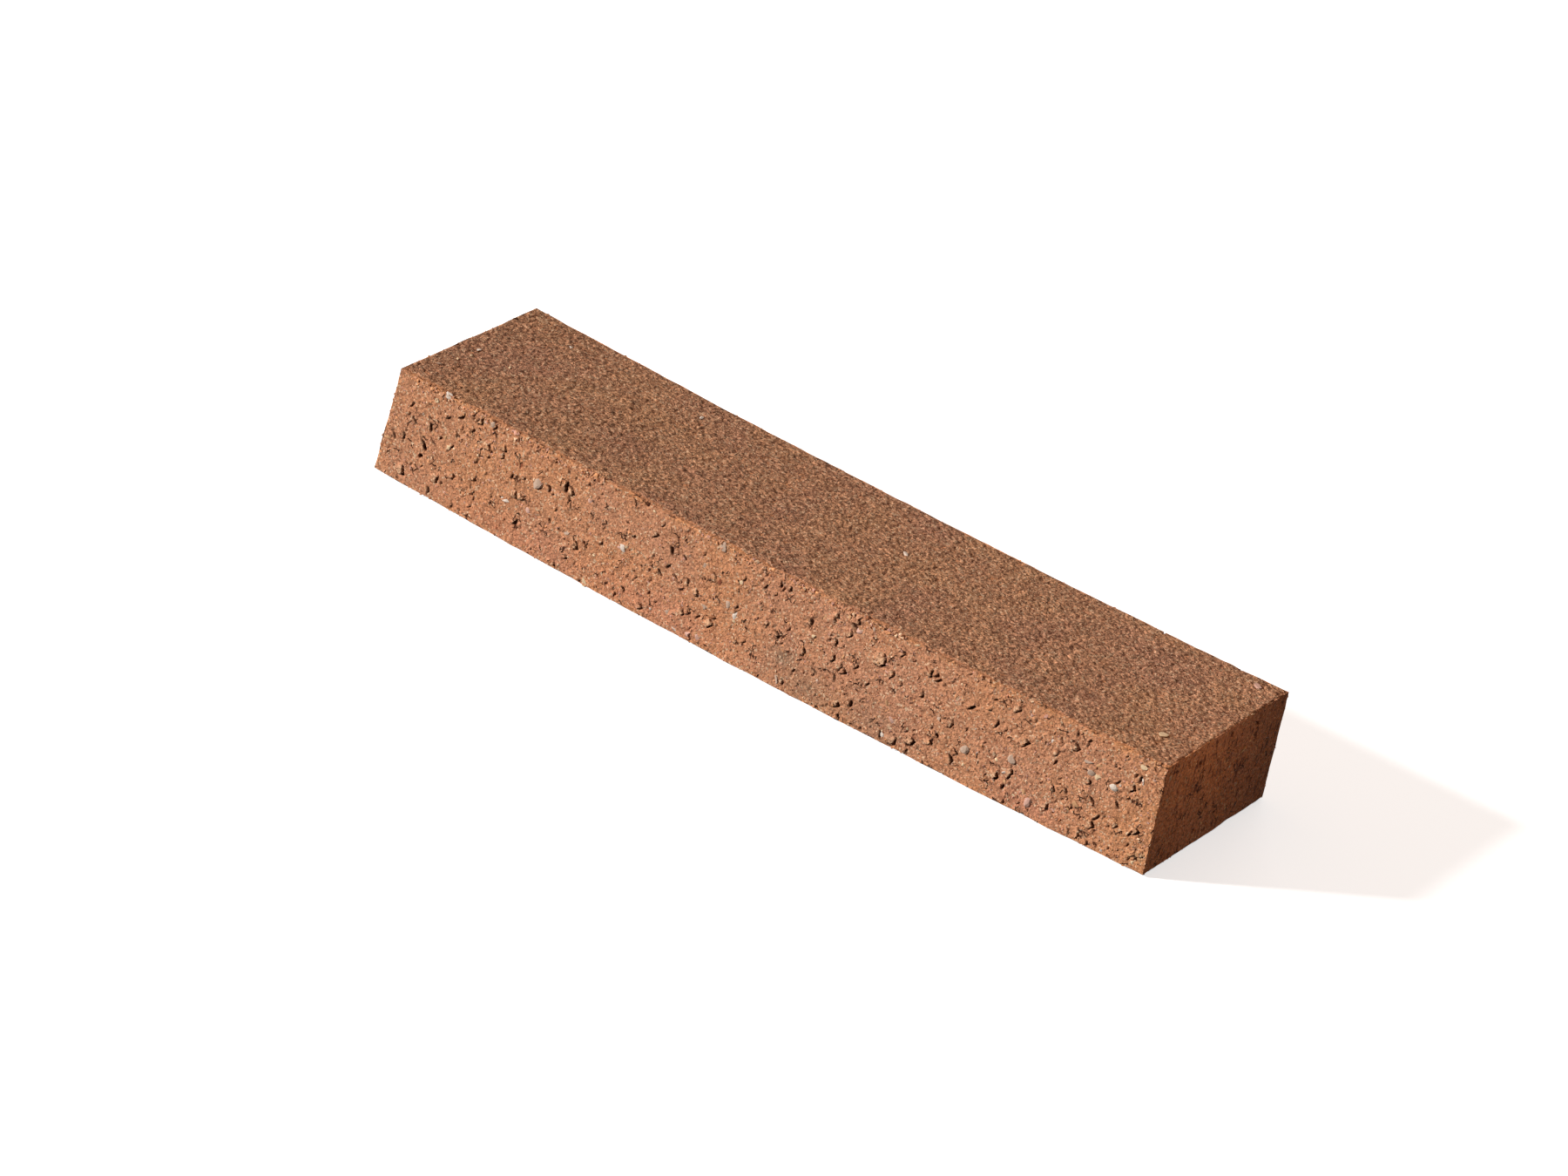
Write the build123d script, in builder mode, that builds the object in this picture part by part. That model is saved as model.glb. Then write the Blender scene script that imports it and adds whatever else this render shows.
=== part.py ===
from build123d import *
import os

# Fire brick: one block of fired clay, lying on its wide face.
# X runs along its length, Y across it and Z up; the origin is under the middle of its box.

# Driving dimensions, in millimetres
LENGTH = 230.0  # from end to end, along the lower bed
WIDTH = 60.0  # from long side to long side
THICKNESS = 30.0  # from bed to bed
BOW = 3.0  # how far the middle of each long side stands forward of its ends
END_LEAN = 1.5  # how far the upper edge of each end stands in from its lower edge
CORNER_ARRIS = 1.0  # rounding of the four upright corners
BED_ARRIS = 0.8  # rounding of the edges round the upper and lower beds

# The long sides bow towards -Y, and the box round the whole bowed block is centred on the origin.
front_middle = -(WIDTH + BOW) / 2
front_ends = front_middle + BOW
back_middle = front_middle + WIDTH
back_ends = front_ends + WIDTH
upper_end = LENGTH / 2 - END_LEAN

os.makedirs("parts", exist_ok=True)


def is_upright(edge):
    """True for the corners between the long sides and the ends, which lean only a little."""
    return abs((edge % 0.5).Z) > 0.5


with BuildPart() as fire_brick:
    # Plan of the block: two parallel arcs for the bowed sides, joined by two straight ends.
    with BuildSketch(Plane.XY):
        with BuildLine():
            front = ThreePointArc((-LENGTH / 2, front_ends), (0, front_middle), (LENGTH / 2, front_ends))
            right = Line(front @ 1, (LENGTH / 2, back_ends))
            back = ThreePointArc(right @ 1, (0, back_middle), (-LENGTH / 2, back_ends))
            Line(back @ 1, front @ 0)
        make_face()
    extrude(amount=THICKNESS)
    # Front view: the wet block settled a little on its lower bed, so both ends lean in towards the top.
    with BuildSketch(Plane.XZ):
        with BuildLine():
            Polyline(
                (-LENGTH / 2, 0), (LENGTH / 2, 0), (upper_end, THICKNESS), (-upper_end, THICKNESS), close=True
            )
        make_face()
    extrude(amount=WIDTH + BOW, both=True, mode=Mode.INTERSECT)
    # The raw clay's edges are rubbed down in handling, the upright corners a little more than the beds' rims.
    fillet(fire_brick.edges().filter_by(is_upright), radius=CORNER_ARRIS)
    fillet(fire_brick.faces().filter_by(Axis.Z).edges(), radius=BED_ARRIS)

fire_brick.part.label = "fire_brick"
export_step(fire_brick.part, "parts/fire_brick.step")
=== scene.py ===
# %% [markdown]
# # A fire brick
# A slim brick of coarse fired clay. Its beds carry a coat of sand, its long sides and ends were cut
# with a wire, which tore grains out and left pits, and crushed fired clay shows as pale grains.
# The solid brick comes in as a fixed frame, and everything made here stays inside its box.

# %% Load the brick's frame
import math

import bmesh
import bpy
import numpy as np
from mathutils import Matrix, Vector


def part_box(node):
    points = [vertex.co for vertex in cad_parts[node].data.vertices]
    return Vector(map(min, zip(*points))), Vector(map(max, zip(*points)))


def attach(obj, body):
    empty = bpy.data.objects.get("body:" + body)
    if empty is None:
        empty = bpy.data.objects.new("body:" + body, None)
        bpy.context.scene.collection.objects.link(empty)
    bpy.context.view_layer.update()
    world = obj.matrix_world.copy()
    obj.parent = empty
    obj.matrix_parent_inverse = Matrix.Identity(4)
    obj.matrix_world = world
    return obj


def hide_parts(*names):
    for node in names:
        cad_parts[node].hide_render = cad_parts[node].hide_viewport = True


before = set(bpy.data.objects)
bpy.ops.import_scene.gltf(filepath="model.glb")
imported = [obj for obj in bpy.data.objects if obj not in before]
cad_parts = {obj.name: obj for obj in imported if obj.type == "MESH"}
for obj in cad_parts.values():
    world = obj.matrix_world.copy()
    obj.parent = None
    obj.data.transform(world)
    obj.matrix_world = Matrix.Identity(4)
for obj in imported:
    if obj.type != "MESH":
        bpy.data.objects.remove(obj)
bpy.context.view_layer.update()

# %% [markdown]
# ## Sizes
# The sizes come from the frame, so the surface follows the brick if the brick changes. All shapes are
# worked out in millimetres on a straight block about its own middle. One last step bows the block,
# leans its ends and lifts it onto the floor.

# %% Sizes of the block
MM = 0.001
BOW = 3.0  # how far the middle of the long sides stands forward of their ends
LEAN = 1.5  # how far the upper edge of each end stands in from its lower edge
low, high = (np.array(corner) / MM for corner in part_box("fire_brick"))
HALF = (high - low - np.array([0.0, BOW, 0.0])) / 2
MIDDLE = (low + high) / 2


def shaped(points):
    """Places of straight-block points on the brick as it dried and fired.

    The ends lean in by their lean times the share of the height, and the sides bow by
    bow (x / half length)^2 - bow / 2.
    """
    along = points[:, 0] / HALF[0]
    rise = (points[:, 2] / HALF[2] + 1) / 2
    return points + MIDDLE + np.column_stack([-LEAN * along * rise, BOW * along ** 2 - BOW / 2, 0 * along])


def smooth_step(edge_0, edge_1, value):
    """Runs from 0 at the first edge to 1 at the second along 3t^2 - 2t^3."""
    t = np.clip((value - edge_0) / (edge_1 - edge_0), 0, 1)
    return t * t * (3 - 2 * t)


def between(lowest, highest, share):
    """Runs from the lowest at a share of 0 to the highest at a share of 1."""
    return lowest + (highest - lowest) * share


print("half sizes in mm", HALF.round(2))

# %% [markdown]
# ## Random numbers that belong to places
# Clay is random, but the same place has to give the same number on each run. A noise texture could do
# that in a material, but here the shape itself needs it. So each cube of a grid in space looks up one
# row of a fixed table, and blending the eight corners of a cube gives a smooth cloud.

# %% Smooth clouds in space
ROWS = 4096
PRIMES = np.array([73856093, 19349663, 83492791])
TABLE = np.random.default_rng(230).random((ROWS, 8))
TURN = np.array(Matrix.Rotation(0.6, 3, Vector((1, 2, 3))))


def row_of(cells, seed):
    """Table row of each cube: its coordinates times large primes, mixed by exclusive or."""
    mixed = np.bitwise_xor.reduce(cells * PRIMES, axis=1) ^ (seed * 2654435761)
    return (mixed ^ (mixed >> 15)) % ROWS


def cells_about(points, size):
    """For each point its cell of a grid and the cells round that, as whole numbers, one array at a time."""
    base = np.floor(points / size).astype(np.int64)
    for offset in np.ndindex((3,) * points.shape[1]):
        yield base + np.array(offset) - 1


def cloud(points, size, seed, height=1.0):
    """Smooth noise from -height to height, whose lumps are about size across."""
    place = points @ TURN / size
    base = np.floor(place).astype(np.int64)
    t = place - base
    t = t * t * (3 - 2 * t)
    total = np.zeros(len(points))
    for corner in np.ndindex(2, 2, 2):
        weight = np.prod(np.where(corner, t, 1 - t), axis=1)
        total += weight * TABLE[row_of(base + corner, seed), 0]
    return height * (2 * total - 1)


diagonal = np.outer(np.linspace(-1, 1, 5), HALF)
print("a cloud at five places along a diagonal", cloud(diagonal, 10.0, 1).round(2))

# %% [markdown]
# ## Voids
# Air bubbles and lost grains leave round holes where a face cuts them open. Cutting each with a Boolean
# would be slow for thousands of them. Here each cube of a grid may hold one ball, and a point of a face
# that lies inside a ball sinks to the ball's far wall.

# %% Voids that a face cuts open
SOFT_RIM = 0.22  # share of a void's radius squared over which its rim is rounded
IN_CUBE = (0.15, 0.85)  # where a void's middle may lie in its cube


def ball_depth(points, normals, centres, radii):
    """How far a surface point sinks to the far wall of a ball that it lies in.

    The centre lies t below the point along the normal and rho beside it, so the far wall is
    t + sqrt(radius^2 - rho^2) down. Points outside the ball give 0.
    """
    away = points - centres
    t = (away * normals).sum(1)
    square = (away ** 2).sum(1)
    depth = t + np.sqrt(np.maximum(radii ** 2 - square + t ** 2, 0))
    return depth * smooth_step(0, SOFT_RIM, 1 - square / radii ** 2)


def voids(points, normals, cell, radii, share, seed):
    """Depth of the voids that a surface cuts through, one ball in a share of the cubes of a grid."""
    deepest = np.zeros(len(points))
    for cubes in cells_about(points, cell):
        chance = TABLE[row_of(cubes, seed)]
        centres = (cubes + between(*IN_CUBE, chance[:, :3])) * cell
        depth = ball_depth(points, normals, centres, between(*radii, chance[:, 3] ** 2))
        deepest = np.maximum(deepest, np.where(chance[:, 4] < share, depth, 0))
    return deepest


halved = ball_depth(np.zeros((1, 3)), np.array([[0.0, 0.0, 1.0]]), np.zeros(3), 1.0)
print("depth in mm of a void of 1 mm radius, cut through its middle", halved)

# %% [markdown]
# ## Tears
# The wire drags crumbs of clay along and tears them half off. A tear is a scale: the clay rises slowly
# to a lip and drops into a crack, a crescent round the lip. Sculpting each one by hand would take days.
# As a formula, each square of a face holds one tear or none, so a point only has to look at nine
# squares. The tears that catch the eye on the front have places of their own.

# %% Shape of a tear
LIP, CRACK = 0.31, 0.75  # height and depth as shares of a tear's half length
CRACK_WIDTH = (0.15, 0.08)  # millimetres, and a share of the half length


def tear_shapes(right, above, length, turn, bend):
    """Lip and crack of a tear at points right of and above its middle, each from 0 to 1.

    Across the tear the lip grows as exp(across / (0.7 length)) up to the crack, which is
    exp(-(across / width)^2). Both fade along it as 1 - (run / length)^2, and the tear bends
    away by bend length (run / length)^2.
    """
    run = (above * np.cos(turn) - right * np.sin(turn)) / length
    across = right * np.cos(turn) + above * np.sin(turn) + bend * length * run ** 2
    width = CRACK_WIDTH[0] + CRACK_WIDTH[1] * length
    fade = np.clip(1 - run ** 2, 0, 1)
    rise = np.where(across < 0, across / (0.7 * length), -(across / (0.5 * width)) ** 2)
    return fade * np.exp(rise), fade * np.exp(-(across / width) ** 2)


print("lip and crack in the middle of a tear", *tear_shapes(0.0, 0.0, 1.0, 0.0, 0.0))

# %% Tears on the cut faces
SLANT = (-1.2, 1.2)  # how far a tear turns from upright, in radians
BEND = (-0.1, 0.7)  # how far a tear bends, as a share of its half length
UNEVEN, CRACK_UNEVEN = (0.4, 1.6), (0.3, 1.7)  # how heights and cracks differ from mark to mark
TEARS = (  # square, shortest and longest half length, share of squares with a tear, seed
    (5.4, (0.55, 1.4), 0.42, 31),
    (3.1, (0.3, 0.75), 0.32, 32),
)
MARKED_TEARS = (  # along, up, half length, turn and bend of the tears that catch the eye on the front
    (-93.3, 25.6, 1.5, -0.7, 0.2), (-96.9, 23.6, 1.1, -0.7, 0.3), (-93.4, 20.5, 0.9, 0.2, 0.5),
    (-108.3, 12.9, 1.3, 0.2, 0.4), (-111.3, 11.8, 1.2, 0.6, 0.2), (-102.1, 13.4, 1.8, 0.7, 0.2),
    (-101.6, 18.8, 1.6, 0.4, 0.1), (-97.4, 2.7, 1.1, 0.1, 0.4), (-89.5, 2.0, 1.0, 0.1, 0.4),
    (-73.4, 21.9, 1.0, 0.3, 0.5), (-75.2, 17.9, 1.1, -0.2, 0.2), (-59.0, 22.6, 1.8, 0.1, 0.1),
    (-58.0, 23.2, 1.0, 1.2, 0.2), (-70.7, 6.7, 1.3, -0.5, 0.3), (-67.4, 19.4, 1.7, -1.3, 0.1),
    (-26.1, 21.0, 1.3, 0.3, 0.2), (-25.9, 16.5, 1.1, -0.7, 0.2), (-27.9, 14.0, 1.2, 0.8, 0.1),
    (-36.7, 4.8, 1.0, 0.9, 0.4), (-17.5, 7.3, 1.1, -0.7, 0.3), (21.5, 24.8, 1.2, 0.3, 0.1),
    (27.0, 26.1, 1.4, 1.2, 0.3), (23.4, 19.5, 1.2, 0.2, 0.3), (7.4, 13.9, 1.3, 0.6, 0.4),
    (15.4, 20.1, 0.8, 0.3, 0.5), (15.5, 12.8, 1.4, -0.1, 0.2), (52.0, 23.0, 1.2, -0.7, 0.3),
    (48.7, 17.6, 1.2, -0.2, 0.3), (60.1, 5.3, 1.5, 0.5, 0.5), (90.3, 27.1, 1.0, 0.1, 0.3),
    (94.0, 26.8, 1.0, -0.6, 0.3), (108.6, 23.4, 1.2, -0.2, 0.3), (103.1, 20.3, 1.2, -0.8, 0.1),
    (92.0, 7.7, 0.9, -0.6, 0.4), (104.0, 14.8, 1.2, 0.5, 0.1), (69.8, 19.3, 1.4, -0.3, 0.6),
    (93.6, 2.3, 1.0, 0.1, 0.4), (112.0, 4.2, 1.2, 0.1, 0.2), (110.2, 3.0, 0.9, -0.5, 0.3),
)


def tears(place, face, cell, reach, share, seed):
    """Heights of lips and depths of cracks of one layer of tears."""
    lips, cracks = np.zeros(len(place)), np.zeros(len(place))
    for squares in cells_about(place, cell):
        chance = TABLE[row_of(np.column_stack([squares, face]), seed)]
        length = between(*reach, chance[:, 2] ** 2)
        away = place - (squares + chance[:, :2]) * cell
        turn, bend = between(*SLANT, chance[:, 3]), between(*BEND, chance[:, 4])
        lip, crack = tear_shapes(*away.T, length, turn, bend)
        there = length * (chance[:, 5] < share)
        lips = np.maximum(lips, LIP * there * between(*UNEVEN, chance[:, 6]) * lip)
        cracks = np.maximum(cracks, CRACK * there * between(*CRACK_UNEVEN, chance[:, 7]) * crack)
    return lips, cracks


print("tears with places of their own", len(MARKED_TEARS))

# %% [markdown]
# ## Flakes
# A flake is a small angular plate that the wire lifted, with a crack along the sides that face the
# wire's way. It could be a mesh of its own, but then its foot would have to be joined to the clay.
# Five straight sides, of which the farthest counts, give the same outline as part of the clay's height.

# %% Flakes on the cut faces
SIDES = 5
WIRE = np.array([0.9, -0.44])  # the way the wire went over a face, along and up
FLAKE, FLAKE_CRACK = 0.29, 0.62  # height and depth of the crack as shares of a flake's half width
FLAKE_UNEVEN = (0.2, 1.8)  # how cracks differ from flake to flake
FACING = (0.1, 0.7)  # how far a side has to face the wire's way to crack a little, and fully
TILT, FOOT = (0.62, 0.45), 0.15  # height at the middle and rise towards the wire's side, and lowest height
SIDE_TURN, SIDE_REACH = 0.7, (0.6, 1.1)  # how unequal the sides are, in way out and in reach
PLATE_EDGE = (-0.14, 0.06)  # mm over which a plate ends
GAP_MIDDLE, GAP_HALF = 0.14, 0.16  # mm from a plate's edge to the middle of its crack, and half its width
FLAKES = (  # square, smallest and largest half width, share of squares with a flake, seed
    (6.4, (0.55, 1.25), 0.26, 33),
    (2.6, (0.28, 0.6), 0.3, 35),
)
MARKED_FLAKES = (  # along, up and half width of the flakes that catch the eye on the front
    (-88.7, 27.4, 1.2), (-95.0, 16.4, 1.0), (-84.5, 22.0, 1.1), (-107.5, 3.9, 1.5), (-97.1, 6.2, 1.2),
    (-92.3, 9.7, 0.9), (-86.2, 12.1, 1.1), (-72.1, 13.6, 1.2), (-79.5, 21.6, 0.9), (-32.2, 22.7, 1.2),
    (-53.2, 9.5, 1.3), (-32.1, 2.7, 1.0), (25.5, 23.7, 1.3), (25.5, 14.4, 1.1), (35.0, 20.9, 1.8),
    (47.7, 4.7, 1.4), (43.1, 2.4, 1.2), (57.3, 14.3, 1.0), (73.1, 25.9, 1.3), (77.0, 19.0, 1.4),
    (75.2, 9.7, 1.4), (90.1, 23.9, 1.2), (85.5, 5.7, 1.2), (97.8, 6.6, 1.3), (104.3, 9.5, 1.0),
    (109.4, 10.3, 1.2), (112.6, 5.4, 1.0), (110.6, 4.6, 0.9), (48.8, 24.1, 1.4), (40.9, 25.3, 1.1),
)


def flake_shapes(away, size, spread):
    """Plate and crack of a five-sided flake at points away from its middle, each from 0 to 1.

    The gap beyond the outline is the largest of the distances past the five sides, each of which
    has its own way out and its own reach. The plate ends at a gap of 0 and stands highest on the
    wire's side. The crack is exp(-((gap - middle) / half width)^2), on the wire's side only.
    """
    angles = 2 * np.pi * (np.arange(SIDES) + SIDE_TURN * spread[:, :SIDES]) / SIDES
    reach = size[:, None] * between(*SIDE_REACH, spread[:, :2:-1])
    gap = (away[:, :1] * np.cos(angles) + away[:, 1:] * np.sin(angles) - reach).max(1)
    ahead = away @ WIRE
    facing = smooth_step(*FACING, ahead / (np.hypot(*away.T) + 0.01))  # never divides by 0
    plate = (1 - smooth_step(*PLATE_EDGE, gap)) * np.clip(TILT[0] + TILT[1] * ahead / size, FOOT, 1)
    return plate, facing * np.exp(-((gap - GAP_MIDDLE) / GAP_HALF) ** 2)


def flakes(place, face, cell, reach, share, seed):
    """Heights of plates and depths of cracks of one layer of flakes."""
    plates, cracks = np.zeros(len(place)), np.zeros(len(place))
    for squares in cells_about(place, cell):
        on_face = np.column_stack([squares, face])
        chance, spread = (TABLE[row_of(on_face, seed + step)] for step in (0, 1))
        size = between(*reach, chance[:, 2] ** 2)
        plate, crack = flake_shapes(place - (squares + chance[:, :2]) * cell, size, spread)
        there = size * (chance[:, 3] < share)
        plates = np.maximum(plates, FLAKE * there * between(*UNEVEN, chance[:, 4]) * plate)
        cracks = np.maximum(cracks, FLAKE_CRACK * there * between(*FLAKE_UNEVEN, chance[:, 5]) * crack)
    return plates, cracks


print("flakes with places of their own", len(MARKED_FLAKES))

# %% [markdown]
# ## Where a point lies on the block
# Marks are drawn on flat faces, so each point needs the number of its face, and chips need the distance
# to the nearest arris, as the edge of a brick is called. Both follow from the point and its normal, so
# nothing has to be picked by hand.

# %% Faces and arrises
FRONT = 2  # number of the front in face_of
OUTWARD = np.array([[-1, 0, 0], [1, 0, 0], [0, -1, 0], [0, 1, 0]], float)  # of the faces in face_of


def face_of(normals):
    """Number of the cut face that each normal belongs to: left and right end, front and back."""
    long_side = np.abs(normals[:, 1]) >= np.abs(normals[:, 0])
    return 2 * long_side + (np.where(long_side, normals[:, 1], normals[:, 0]) > 0)


def edge_distance(points):
    """Distance from a point of the block's surface to the nearest arris."""
    return np.sort(HALF - np.abs(points), axis=1)[:, 1]


print("numbers of the left end, right end, front and back", face_of(OUTWARD))

# %% [markdown]
# ## Marks on the cut faces
# All marks of a cut face come together here. Of all lips and plates the highest counts at each place,
# and of all cracks and voids the deepest. The places are bent a little first, which frays the outlines
# as torn clay is frayed. Marks fade out near the arrises, so that these stay straight.

# %% Lips, plates, cracks and voids
VOIDS = (  # cube, smallest and largest radius, share of cubes with a void, seed
    (7.0, (0.5, 0.9), 0.15, 11),
    (4.0, (0.3, 0.55), 0.3, 12),
)
FRAY_VOIDS, FRAY_MARKS = 0.75, 0.34  # mm that the warp bends the outlines of voids, and of tears and flakes
FLAT_FACE = (0.8, 0.97)  # part of a normal along its face's way out, from the round to the flat
CALM_ARRIS = (0.5, 1.3)  # mm from the arris over which the marks set in


def cut_marks(points, normals, warp):
    """Heights of lips and plates and depths of cracks and voids on the cut faces.

    The places are bent by the warp, which frays the outlines.
    """
    bumps, pits = np.zeros(len(points)), np.zeros(len(points))
    for layer in VOIDS:
        pits = np.maximum(pits, voids(points + FRAY_VOIDS * warp, normals, *layer))
    face = face_of(normals)
    along = np.where(face >= FRONT, points[:, 0], points[:, 1])
    place = np.column_stack([along, points[:, 2]]) + FRAY_MARKS * warp[:, :2]
    flat = smooth_step(*FLAT_FACE, np.abs(normals[:, :2]).max(1))
    flat *= smooth_step(*CALM_ARRIS, edge_distance(points))
    for kind, layers in ((tears, TEARS), (flakes, FLAKES)):
        for layer in layers:
            raised, sunk = kind(place, face, *layer)
            bumps, pits = np.maximum(bumps, flat * raised), np.maximum(pits, flat * sunk)
    front = np.flatnonzero(face == FRONT)
    right, above = place[front, 0], place[front, 1] + HALF[2]
    raised, sunk = bumps[front], pits[front]
    for x, z, length, turn, bend in MARKED_TEARS:
        lip, crack = tear_shapes(right - x, above - z, length, turn, bend)
        raised, sunk = np.maximum(raised, LIP * length * lip), np.maximum(sunk, CRACK * length * crack)
    for row, (x, z, width) in enumerate(MARKED_FLAKES):
        size = np.full(len(front), width)
        plate, crack = flake_shapes(np.column_stack([right - x, above - z]), size, TABLE[[row]])
        raised = np.maximum(raised, FLAKE * width * plate)
        sunk = np.maximum(sunk, FLAKE_CRACK * width * crack)
    bumps[front], pits[front] = flat[front] * raised, flat[front] * sunk
    return bumps, pits


print("layers of voids, tears and flakes", len(VOIDS), len(TEARS), len(FLAKES))

# %% [markdown]
# ## The clay's relief
# One function gives the height of the clay over the true block at any place of its surface, so the
# skin and the grains that sit on it agree. The beds are only uneven. The cut faces have their marks,
# and the arrises have lost small chips, but not at the left end, whose outline is clean.

# %% Heights of the surface
SKIN = 0.5  # how far the clay lies inside the true block, so that grains can stand proud of it
HIGHEST = -0.03  # height that nothing passes, so that the brick keeps its size
# Size, seed and height of the clouds: slow swells, waves of bare clay, coarse cut faces, worn arrises
SWELL, WAVE, COARSE, WEAR = (42.0, 1, 0.12), (4.6, 2, 0.07), (1.6, 3, 0.05), (2.1, 6, 0.07)
WARP = ((1.3, 20, 1.0), (0.6, 24, 0.5))  # clouds that fray outlines, each with the first of three seeds
BED = (0.55, 0.85)  # part of a normal along Z, from the round to the bed
RIM = (1.7, 0.3)  # mm from the arris over which chips and wear set in
INNER_BED = (4.0, 8.0)  # mm from the arris over which the waves fade out under the sand
CHIPS, FRAY_CHIPS = (3.4, (0.4, 1.0), 0.4, 14), 0.6  # as for the voids
MARKED_CHIPS = (  # along, up and radius of the chips that catch the eye on the front's upper arris
    (-84.3, 30.0, 1.5), (94.9, 30.2, 1.2), (-36.3, 29.8, 1.2), (-28.3, 30.0, 1.2),
)
CLEAN_END = 3.0  # length at the left end without chips
CHIP_AHEAD = 0.2  # mm by which the middle of a marked chip lies ahead of the front


def relief(points, normals):
    """Height over the true block, depth of hollows and height of marks at the straight block's surface.

    The height is -skin plus slow swells plus the marks' bumps, kept under the highest, less the hollows.
    """
    bed, edge = smooth_step(*BED, np.abs(normals[:, 2])), edge_distance(points)
    near = smooth_step(*RIM, edge) * (points[:, 0] > CLEAN_END - HALF[0])
    open_clay = 1 - bed * smooth_step(*INNER_BED, edge)
    height = -SKIN + cloud(points, *SWELL) + open_clay * cloud(points, *WAVE) + near * cloud(points, *WEAR)
    hollow, proud = np.zeros(len(points)), np.zeros(len(points))
    warp = np.stack([sum(cloud(points, size, seed + axis, bend) for size, seed, bend in WARP)
                     for axis in range(3)], 1)
    torn = np.flatnonzero(bed < 1)
    cut = 1 - bed[torn]
    bumps, pits = cut_marks(points[torn], normals[torn], warp[torn])
    proud[torn], hollow[torn] = cut * bumps, cut * pits
    height[torn] += proud[torn] + cut * cloud(points[torn], *COARSE)
    rim = np.flatnonzero(near > 0)
    bent = points[rim] + FRAY_CHIPS * warp[rim]
    chips = voids(bent, normals[rim], *CHIPS)
    for x, z, radius in MARKED_CHIPS:
        middle = np.array([x, -HALF[1] - CHIP_AHEAD, z - HALF[2]])
        chips = np.maximum(chips, ball_depth(bent, normals[rim], middle, radius))
    hollow[rim] = np.maximum(hollow[rim], near[rim] * chips)
    return np.minimum(height, HIGHEST) - hollow, hollow, proud


bed_middle = HALF * np.array([[0.0, 0.0, 1.0]])
bed_height = relief(bed_middle, bed_middle / HALF[2])[0]
print("height in mm of the clay in the middle of the upper bed", bed_height.round(3))

# %% [markdown]
# ## The skin of the block
# A subdivided cube with a Displace modifier could carry the relief, but it would round the corners.
# Here a lattice of small squares covers all six sides and shares its points along the arrises, so the
# skin is closed. A point within an arris's radius of the edge slides onto the round: it is moved
# to the nearest core point plus the radius along the way out. Then the relief is laid on.
# The lattice is finer than a piece may be in the end, and Decimate keeps its triangles where tears
# and arrises need them.

# %% Lattice of the block
PITCH = np.array([0.25, 0.33, 0.25])  # along, across and up, in millimetres
ARRIS, ARRIS_WANDERS = 0.55, (7.0, 30, 0.25)  # radius of the arrises, and the cloud that changes it


def block_lattice(size, pitch):
    """Points of a box-shaped lattice's surface and its outward squares, as whole-number rows."""
    counts = np.round(size / pitch).astype(int)
    shell = np.zeros(counts + 1, bool)
    shell[[0, -1]] = True
    shell[:, [0, -1]] = True
    shell[:, :, [0, -1]] = True
    index = np.full(counts + 1, -1)
    where = np.argwhere(shell)
    index[shell] = np.arange(len(where))
    sheets = (index[0].T, index[-1], index[:, 0], index[:, -1].T, index[:, :, 0].T, index[:, :, -1])
    squares = [np.stack([s[:-1, :-1], s[1:, :-1], s[1:, 1:], s[:-1, 1:]], -1) for s in sheets]
    faces = np.concatenate([square.reshape(-1, 4) for square in squares])
    return (where / counts - 0.5) * size, faces


def rounded(points):
    """Slides lattice points onto arrises whose radius wanders along the block."""
    radius = (ARRIS + cloud(points, *ARRIS_WANDERS))[:, None]
    core = np.clip(points, radius - HALF, HALF - radius)
    away = points - core
    normals = away / np.linalg.norm(away, axis=1, keepdims=True)
    return core + radius * normals, normals


lattice, squares = block_lattice(2 * HALF, PITCH)
smooth, skin_normals = rounded(lattice)
skin_height, skin_hollow, skin_proud = relief(smooth, skin_normals)
skin = shaped(smooth + skin_height[:, None] * skin_normals)
print("skin points", len(skin), "squares", len(squares), "deepest hollow mm", skin_hollow.max().round(2))

# %% [markdown]
# ## From arrays to a mesh
# foreach_set hands whole arrays to Blender at once, which is far quicker than one call for each
# point. Decimate thins the mesh, and keeps its triangles where the surface bends most.

# %% Make a mesh object from arrays
SKIN_TRIANGLES, COAT_TRIANGLES = 195_000, 180_000


def mesh_object(name, points, faces, values):
    """A mesh of equal-sided faces from points in millimetres, with named float or colour values."""
    count, sides = faces.shape
    mesh = bpy.data.meshes.new(name)
    mesh.vertices.add(len(points))
    mesh.vertices.foreach_set("co", (points * MM).astype(np.float32).ravel())
    mesh.loops.add(count * sides)
    mesh.loops.foreach_set("vertex_index", faces.astype(np.int32).ravel())
    mesh.polygons.add(count)
    mesh.polygons.foreach_set("loop_start", np.arange(0, count * sides, sides, dtype=np.int32))
    for key, value in values.items():
        kind, field = ("FLOAT", "value") if value.ndim == 1 else ("FLOAT_COLOR", "color")
        made = mesh.attributes.new(key, kind, "POINT")
        made.data.foreach_set(field, value.astype(np.float32).ravel())
    mesh.update(calc_edges=True)
    made = bpy.data.objects.new(name, mesh)
    bpy.context.scene.collection.objects.link(made)
    return made


def thinned(name, points, faces, values, most):
    """A smooth-shaded mesh of about the given number of triangles, thinned from a finer one."""
    fine = mesh_object("fine_" + name, points, faces, values)
    thin = fine.modifiers.new("Decimate", "DECIMATE")
    thin.ratio = most / (2 * len(faces))
    thin.use_collapse_triangulate = True
    graph = bpy.context.evaluated_depsgraph_get()
    mesh = bpy.data.meshes.new_from_object(fine.evaluated_get(graph))
    mesh.name = name
    mesh.shade_smooth()
    bpy.data.objects.remove(fine)
    made = bpy.data.objects.new(name, mesh)
    bpy.context.scene.collection.objects.link(made)
    print(name, "triangles", len(mesh.polygons), "attributes", mesh.attributes.keys())
    return made


print("triangles kept of the skin's", 2 * len(squares), "are", SKIN_TRIANGLES)

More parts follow.
